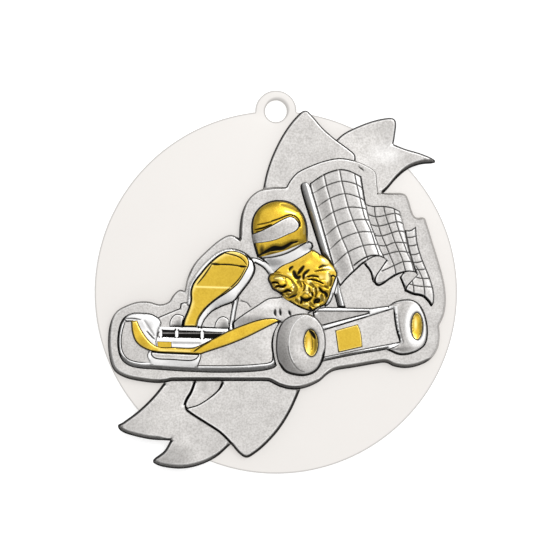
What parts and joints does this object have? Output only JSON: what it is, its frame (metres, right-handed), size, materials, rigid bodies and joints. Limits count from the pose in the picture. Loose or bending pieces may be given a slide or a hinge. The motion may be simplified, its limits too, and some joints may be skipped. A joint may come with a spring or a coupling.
{
  "type": "karting medal",
  "caption": "Round off-white medal with a top eyelet; its face carries a raised silver and gold emblem of a go-kart, helmeted driver and chequered flag on a folded ribbon.",
  "frame": {"origin": "centre of the disc's back face", "axes": "+Z out of the face with the emblem, +Y towards the eyelet, +X to the right when the face is read"},
  "size_m": [0.07, 0.074, 0.0082],
  "materials": {
    "acrylic": "opaque off-white cast acrylic, satin face, polished edge",
    "bonding_film": "double-sided foam film",
    "blasted_silver": "antique silver plate, sandblasted, dark patina in the recesses",
    "polished_silver": "antique silver plate, burnished bright on the raised face",
    "polished_gold": "gold plate, polished, dark patina in the recesses",
    "satin_gold": "gold plate, satin"
  },
  "bodies": {
    "root": {"backing_disc": "acrylic", "bonding_film": "bonding_film", "ribbon_upper_tail": "blasted_silver", "ribbon_upper_fold": "blasted_silver", "ribbon_lower_tail": "blasted_silver", "ribbon_lower_fold": "blasted_silver", "ribbon_lower_return": "blasted_silver", "emblem_plaque": "blasted_silver", "flag_pole": "polished_silver", "flag_front_wave": "blasted_silver", "flag_middle_wave": "blasted_silver", "flag_end_wave": "blasted_silver", "flag_undersides": "blasted_silver", "helmet_shell": "polished_gold", "helmet_visor": "blasted_silver", "neck_collar": "polished_silver", "driver_torso": "polished_gold", "driver_arm": "polished_gold", "driver_leg": "blasted_silver", "seat_back": "polished_silver", "steering_column": "polished_silver", "fairing_panel": "satin_gold", "fairing_frame": "polished_silver", "fairing_strut": "polished_silver", "far_bodywork": "blasted_silver", "footwell_hoops": "blasted_silver", "grille_rails": "polished_silver", "nose_shell": "polished_silver", "nose_left_panel": "blasted_silver", "nose_right_panel": "blasted_silver", "nose_lip": "blasted_silver", "bumper_band": "polished_gold", "bumper_clip": "satin_gold", "front_tyre": "blasted_silver", "front_hub": "polished_gold", "side_panel": "blasted_silver", "side_frame": "polished_silver", "number_plate": "satin_gold", "rear_floor": "blasted_silver", "rear_tyre": "blasted_silver", "rear_hub": "polished_gold"}
  },
  "joints": []
}
